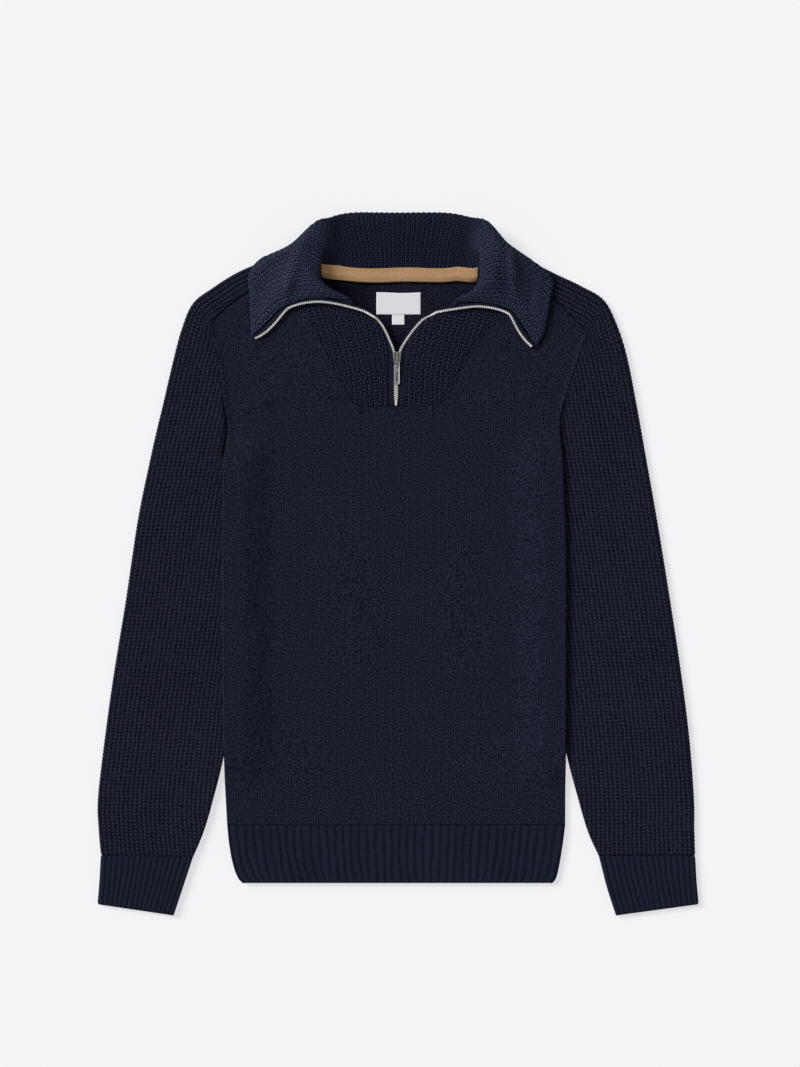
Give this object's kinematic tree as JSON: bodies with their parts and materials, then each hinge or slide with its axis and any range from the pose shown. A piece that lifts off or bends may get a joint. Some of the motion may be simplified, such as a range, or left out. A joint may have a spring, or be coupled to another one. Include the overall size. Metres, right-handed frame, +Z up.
{
  "type": "quarter zip sweater",
  "caption": "Navy knitted sweater laid flat, its quarter zip half open and the waffle collar turned out, with saddle shoulders, waffle sleeves and ribbed hem and cuffs.",
  "frame": {"origin": "middle of the flat-laid sweater on the surface it lies on", "axes": "+X across the body to the right of the picture, which is the wearer's left, +Y up the garment from hem to collar, +Z up from the surface, so the front faces +Z"},
  "size_m": [0.6792, 0.7948, 0.0291],
  "materials": {
    "navy_jersey": "matte fine jersey knit",
    "navy_waffle": "matte waffle knit",
    "navy_rib": "matte rib knit",
    "zip_tape": "woven tape",
    "neck_tape": "herringbone cotton tape",
    "label_white": "satin woven",
    "zip_metal": "polished metal"
  },
  "bodies": {
    "garment": {"front": "navy_jersey", "back": "navy_jersey", "sleeve_left": "navy_waffle", "sleeve_right": "navy_waffle", "cuff_left": "navy_rib", "cuff_right": "navy_rib", "hem_front": "navy_rib", "hem_back": "navy_rib", "inset_left": "navy_waffle", "inset_right": "navy_waffle", "collar": "navy_waffle", "zip_tape_left": "zip_tape", "zip_tape_right": "zip_tape", "zip_teeth_left": "zip_metal", "zip_teeth_right": "zip_metal", "zip_chain": "zip_metal", "neck_tape": "neck_tape", "label": "label_white", "size_tab": "label_white", "slider": "zip_metal"},
    "pull": {"pull_tab": "zip_metal"}
  },
  "joints": [
    {"name": "pull_swing", "type": "hinge", "parent": "garment", "child": "pull", "pos_m": [-0.0011, 0.22887, 0.01184], "axis": [-1, 0, 0], "range_deg": [0, 150]}
  ]
}
